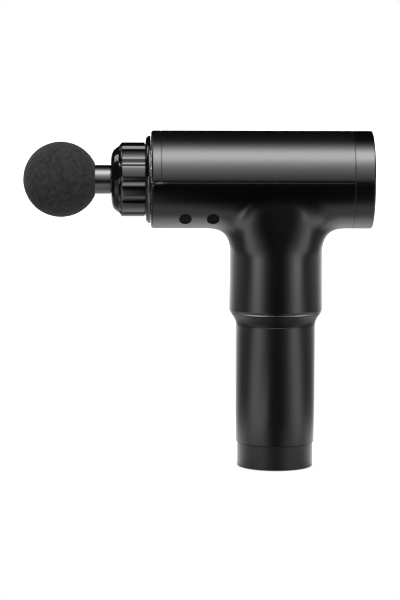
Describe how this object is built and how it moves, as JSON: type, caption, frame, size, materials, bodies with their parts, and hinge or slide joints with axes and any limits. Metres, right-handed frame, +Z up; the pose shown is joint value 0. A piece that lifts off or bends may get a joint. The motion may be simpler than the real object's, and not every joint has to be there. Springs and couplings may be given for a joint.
{
  "type": "massage gun",
  "caption": "Handheld percussive massager: round barrel on a battery handle, fluted nose, ball head on a crank-driven plunger, control panel at the rear.",
  "frame": {"origin": "centre of the flat underside of the handle's base cap", "axes": "+Z up along the handle, -X towards the ball head along the barrel, +Y across the barrel away from the side with screw plugs 1 and 2"},
  "size_m": [0.231, 0.065, 0.2238],
  "materials": {
    "shell": "satin black with a metallic fleck",
    "trim_gloss": "polished black",
    "ring_metal": "satin black anodised",
    "handle_skin": "satin black",
    "base_plastic": "satin dark grey",
    "stem_metal": "polished dark anodised",
    "foam": null,
    "rubber": "matte black",
    "lens": "glossy smoked black",
    "steel": "machined steel",
    "aluminium": "cast and machined aluminium",
    "bronze": null,
    "copper": null,
    "magnet": "nickel plated magnet",
    "circuit_board": "green solder mask",
    "inner_plastic": "moulded black nylon",
    "cell_wrap": null,
    "wire_red": "red silicone insulation",
    "wire_black": "black silicone insulation"
  },
  "bodies": {
    "housing": {"lower_housing": "shell", "upper_housing": "shell", "front_band": "shell", "nose_collar": "trim_gloss", "front_flange": "trim_gloss", "rear_ring": "ring_metal", "neck_ring": "handle_skin", "handle_tube": "handle_skin", "base_cap": "base_plastic", "screw_plug_1": "rubber", "screw_plug_2": "rubber", "screw_plug_3": "rubber", "screw_plug_4": "rubber", "nose_seal": "rubber", "front_damper": "rubber", "rear_lens": "lens", "mount_screw_1": "steel", "mount_screw_2": "steel", "mount_screw_3": "steel", "mount_screw_4": "steel", "motor_bearing_upper": "steel", "motor_bearing_lower": "steel", "stator_core": "steel", "front_plate": "aluminium", "drive_frame": "aluminium", "motor_base": "aluminium", "guide_bush_front": "bronze", "guide_bush_rear": "bronze", "winding_upper": "copper", "winding_lower": "copper", "display_board": "circuit_board", "battery_board": "circuit_board", "controller_board": "circuit_board", "button_switch": "inner_plastic", "cell_holder_upper": "inner_plastic", "cell_holder_lower": "inner_plastic", "main_capacitor": "inner_plastic", "charge_socket": "inner_plastic", "rocker_body": "inner_plastic", "battery_cell_1": "cell_wrap", "battery_cell_2": "cell_wrap", "battery_cell_3": "cell_wrap", "battery_lead_red": "wire_red", "battery_lead_black": "wire_black", "display_lead": "wire_black"},
    "rotor": {"rotor_can": "steel", "magnet_ring": "magnet", "motor_shaft": "steel", "crank": "steel"},
    "con_rod": {"connecting_rod": "aluminium", "crank_bearing": "steel", "wrist_pin": "steel"},
    "plunger": {"plunger": "aluminium"},
    "massage_head": {"ball_head": "foam", "head_stem": "stem_metal", "head_o_ring_1": "rubber", "head_o_ring_2": "rubber"},
    "power_rocker": {"power_rocker": "base_plastic"},
    "rear_button": {"rear_button": "base_plastic"}
  },
  "joints": [
    {"name": "motor_spin", "type": "hinge", "parent": "housing", "child": "rotor", "pos_m": [0, 0, 0.1913], "axis": [0, 0, 1], "continuous": true},
    {"name": "rod_turn", "type": "hinge", "parent": "rotor", "child": "con_rod", "pos_m": [0.006, 0, 0.1913], "axis": [0, 0, 1], "continuous": true},
    {"name": "plunger_stroke", "type": "slide", "parent": "housing", "child": "plunger", "axis": [-1, 0, 0], "range_m": [0, 0.012]},
    {"name": "head_release", "type": "slide", "parent": "plunger", "child": "massage_head", "axis": [-1, 0, 0], "range_m": [0, 0.032]},
    {"name": "rocker_tilt", "type": "hinge", "parent": "housing", "child": "power_rocker", "pos_m": [0.012, 0, 0.0044], "axis": [0, 1, 0], "range_deg": [-8, 8]},
    {"name": "button_press", "type": "slide", "parent": "housing", "child": "rear_button", "axis": [-1, 0, 0], "range_m": [0, 0.0008], "stiffness_N_per_m": 800}
  ],
  "couplings": [
    {"joint": "rod_turn", "follows": "motor_spin", "ratio": -1}
  ]
}
